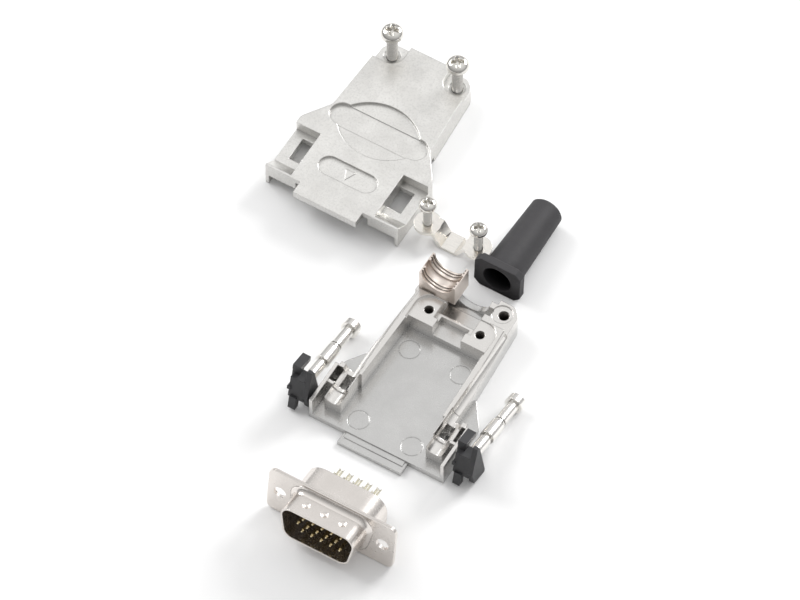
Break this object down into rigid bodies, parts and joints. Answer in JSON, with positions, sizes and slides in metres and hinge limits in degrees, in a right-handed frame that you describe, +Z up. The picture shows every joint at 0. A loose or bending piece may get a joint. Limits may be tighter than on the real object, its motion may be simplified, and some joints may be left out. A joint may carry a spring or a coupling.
{
  "type": "d-sub hood",
  "caption": "Metal connector hood laid open: base and cover shells, cable clamp with saddle, bend relief boot, jackscrews in their clips and a high-density D-shaped plug connector.",
  "frame": {"origin": "centre of the base shell's underside, between its connector end and its cable end", "axes": "+X across the hood, +Y from the connector end to the cable end, +Z up out of the open base shell"},
  "size_m": [0.0777, 0.1181, 0.0148],
  "materials": {
    "zinc_base": "nickel-plated die casting, fairly bright",
    "zinc_cover": "nickel-plated die casting, satin",
    "nickel_screw": "bright nickel plate",
    "nickel_jackscrew": "bright nickel plate",
    "nickel_strip": "bright stamped strip",
    "warm_saddle": "warm nickel plate, satin",
    "boot_rubber": "matte",
    "clip_plastic": "matte moulded",
    "tin_shell": "tin plate, smooth",
    "front_insulator_plastic": "matte moulded",
    "rear_insulator_plastic": "matte moulded",
    "contact_gold": "gold flash"
  },
  "bodies": {
    "laid_out_set": {"base_shell": "zinc_base", "cover_shell": "zinc_cover", "clamp_strap": "nickel_strip", "clamp_saddle": "warm_saddle", "bend_relief_boot": "boot_rubber", "jackscrew_clip_left": "clip_plastic", "jackscrew_clip_right": "clip_plastic", "connector_front_shell": "tin_shell", "connector_rear_shell": "tin_shell", "front_insulator": "front_insulator_plastic", "rear_insulator": "rear_insulator_plastic", "contact_1": "contact_gold", "contact_2": "contact_gold", "contact_3": "contact_gold", "contact_4": "contact_gold", "contact_5": "contact_gold", "contact_6": "contact_gold", "contact_7": "contact_gold", "contact_8": "contact_gold", "contact_9": "contact_gold", "contact_10": "contact_gold", "contact_11": "contact_gold", "contact_12": "contact_gold", "contact_13": "contact_gold", "contact_14": "contact_gold", "contact_15": "contact_gold"},
    "cover_screw_left": {"cover_screw_left": "nickel_screw"},
    "cover_screw_right": {"cover_screw_right": "nickel_screw"},
    "clamp_screw_left": {"clamp_screw_left": "nickel_screw"},
    "clamp_screw_right": {"clamp_screw_right": "nickel_screw"},
    "jackscrew_left": {"jackscrew_left": "nickel_jackscrew"},
    "jackscrew_right": {"jackscrew_right": "nickel_jackscrew"}
  },
  "joints": [
    {"name": "cover_screw_left_turn", "type": "hinge", "parent": "laid_out_set", "child": "cover_screw_left", "pos_m": [-0.047, 0.0646, 0.0065], "axis": [0, 0, 1], "continuous": true},
    {"name": "cover_screw_right_turn", "type": "hinge", "parent": "laid_out_set", "child": "cover_screw_right", "pos_m": [-0.0306, 0.0646, 0.0065], "axis": [0, 0, 1], "continuous": true},
    {"name": "clamp_screw_left_turn", "type": "hinge", "parent": "laid_out_set", "child": "clamp_screw_left", "pos_m": [-0.0187, 0.03185, 0.0034], "axis": [0, 0, 1], "continuous": true},
    {"name": "clamp_screw_right_turn", "type": "hinge", "parent": "laid_out_set", "child": "clamp_screw_right", "pos_m": [-0.0061, 0.03185, 0.0034], "axis": [0, 0, 1], "continuous": true},
    {"name": "jackscrew_left_turn", "type": "hinge", "parent": "laid_out_set", "child": "jackscrew_left", "pos_m": [-0.0195, -0.01955, 0.0068], "axis": [0, 0.977, -0.213], "continuous": true},
    {"name": "jackscrew_right_turn", "type": "hinge", "parent": "laid_out_set", "child": "jackscrew_right", "pos_m": [0.0201, -0.01805, 0.0068], "axis": [0, 0.977, -0.213], "continuous": true}
  ]
}
